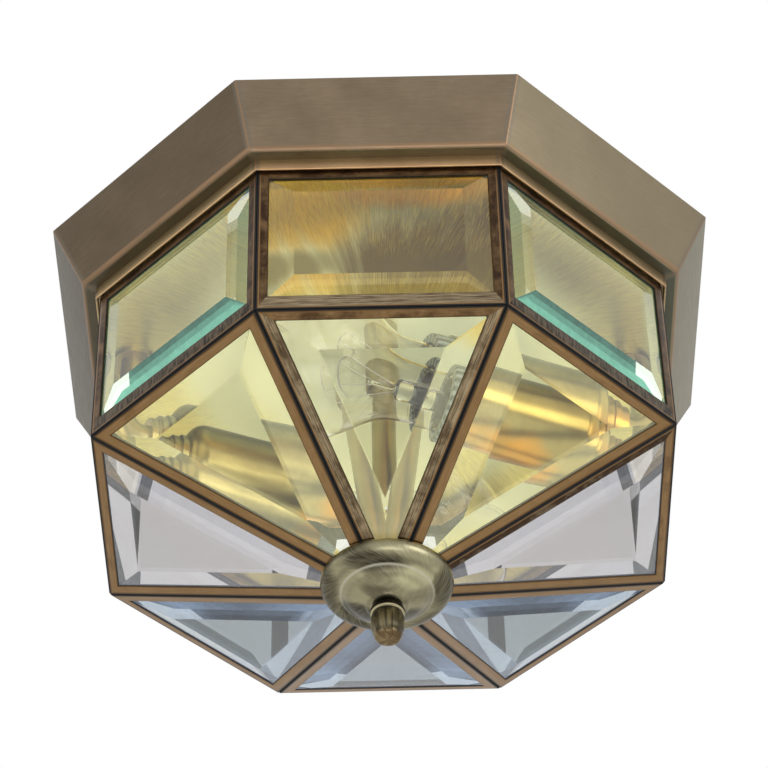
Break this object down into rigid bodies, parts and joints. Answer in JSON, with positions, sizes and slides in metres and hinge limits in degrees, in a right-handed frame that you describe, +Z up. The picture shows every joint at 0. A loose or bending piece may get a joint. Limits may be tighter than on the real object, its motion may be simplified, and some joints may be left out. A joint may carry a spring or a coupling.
{
  "type": "flush mount ceiling light",
  "caption": "Octagonal flush mount ceiling light: folded brass canopy, a cage of bevelled glass panes in brass came over a flat pyramid, clear bulbs inside, a turned finial below.",
  "frame": {"origin": "middle of the crossbar's slot pattern, in the ceiling's plane", "axes": "+Z up into the ceiling, -Y towards the picture's front, +X to its right"},
  "size_m": [0.3048, 0.3048, 0.1988],
  "materials": {
    "canopy_brass": "antique brass, finely brushed, satin lacquer",
    "came_brass": "dark antique brass, rubbed bright along its edges",
    "pane_glass": "clear bevelled plate glass with a pale green edge",
    "zinc_steel": "zinc plated steel",
    "ground_green": "green lacquered screw",
    "stem_brass": "satin antique brass",
    "socket_brass": "antique brass, satin",
    "phenolic": "dark moulded phenolic",
    "shell_brass": "plain rolled brass",
    "base_metal": "rolled bulb base metal",
    "base_insulator": "black insulator with a solder button",
    "bulb_glass": "clear thin bulb glass",
    "bulb_mount_glass": "clear stem glass with bright lead wires",
    "lead_insulation": "lead insulation in white, black and green",
    "connector_plastic": "moulded twist-on connectors",
    "finial_brass": "antique brass, turned and brushed"
  },
  "bodies": {
    "canopy": {"canopy_shell": "canopy_brass", "seat_ring": "came_brass", "mounting_crossbar": "zinc_steel", "ground_screw": "ground_green", "stem_rod": "zinc_steel", "stem_collar": "stem_brass", "stem_tube": "stem_brass", "lock_nuts": "zinc_steel", "right_socket_cover": "socket_brass", "left_socket_cover": "socket_brass", "socket_bodies": "phenolic", "socket_screw_shells": "shell_brass", "right_socket_arm": "stem_brass", "left_socket_arm": "stem_brass", "pipe_nipples": "zinc_steel", "fixture_wires": "lead_insulation", "wire_connectors": "connector_plastic"},
    "cage": {"side_came_1": "came_brass", "side_came_2": "came_brass", "side_came_3": "came_brass", "side_came_4": "came_brass", "side_came_5": "came_brass", "side_came_6": "came_brass", "side_came_7": "came_brass", "side_came_8": "came_brass", "bottom_came_1": "came_brass", "bottom_came_2": "came_brass", "bottom_came_3": "came_brass", "bottom_came_4": "came_brass", "bottom_came_5": "came_brass", "bottom_came_6": "came_brass", "bottom_came_7": "came_brass", "bottom_came_8": "came_brass", "side_pane_1": "pane_glass", "side_pane_2": "pane_glass", "side_pane_3": "pane_glass", "side_pane_4": "pane_glass", "side_pane_5": "pane_glass", "side_pane_6": "pane_glass", "side_pane_7": "pane_glass", "side_pane_8": "pane_glass", "bottom_pane_1": "pane_glass", "bottom_pane_2": "pane_glass", "bottom_pane_3": "pane_glass", "bottom_pane_4": "pane_glass", "bottom_pane_5": "pane_glass", "bottom_pane_6": "pane_glass", "bottom_pane_7": "pane_glass", "bottom_pane_8": "pane_glass", "cage_hub": "came_brass"},
    "finial_cup": {"finial_cup": "finial_brass"},
    "finial_knob": {"finial_knob": "finial_brass"},
    "right_bulb_thread": {"right_bulb_contact": "base_insulator"},
    "right_bulb": {"right_bulb_base": "base_metal", "right_bulb_glass": "bulb_glass", "right_bulb_filament": "bulb_mount_glass"},
    "left_bulb_thread": {"left_bulb_contact": "base_insulator"},
    "left_bulb": {"left_bulb_base": "base_metal", "left_bulb_glass": "bulb_glass", "left_bulb_filament": "bulb_mount_glass"}
  },
  "joints": [
    {"name": "cage_removal", "type": "slide", "parent": "canopy", "child": "cage", "axis": [0, 0, -1], "range_m": [0, 0.165]},
    {"name": "finial_advance", "type": "slide", "parent": "cage", "child": "finial_cup", "axis": [0, 0, -1], "range_m": [0, 0.01034]},
    {"name": "finial_turn", "type": "hinge", "parent": "finial_cup", "child": "finial_knob", "pos_m": [0, 0, -0.19], "axis": [0, 0, -1], "range_deg": [0, 3960]},
    {"name": "right_bulb_advance", "type": "slide", "parent": "canopy", "child": "right_bulb_thread", "axis": [-0.9239, -0.3827, 0], "range_m": [0, 0.02903]},
    {"name": "right_bulb_turn", "type": "hinge", "parent": "right_bulb_thread", "child": "right_bulb", "pos_m": [0.01531, -0.03696, -0.085], "axis": [-0.9239, -0.3827, 0], "range_deg": [0, 2880]},
    {"name": "left_bulb_advance", "type": "slide", "parent": "canopy", "child": "left_bulb_thread", "axis": [0.9239, 0.3827, 0], "range_m": [0, 0.02903]},
    {"name": "left_bulb_turn", "type": "hinge", "parent": "left_bulb_thread", "child": "left_bulb", "pos_m": [-0.01531, 0.03696, -0.085], "axis": [0.9239, 0.3827, 0], "range_deg": [0, 2880]}
  ],
  "couplings": [
    {"joint": "finial_turn", "follows": "finial_advance", "rad_per_m": 6684.2},
    {"joint": "right_bulb_turn", "follows": "right_bulb_advance", "rad_per_m": 1731.4},
    {"joint": "left_bulb_turn", "follows": "left_bulb_advance", "rad_per_m": 1731.4}
  ]
}
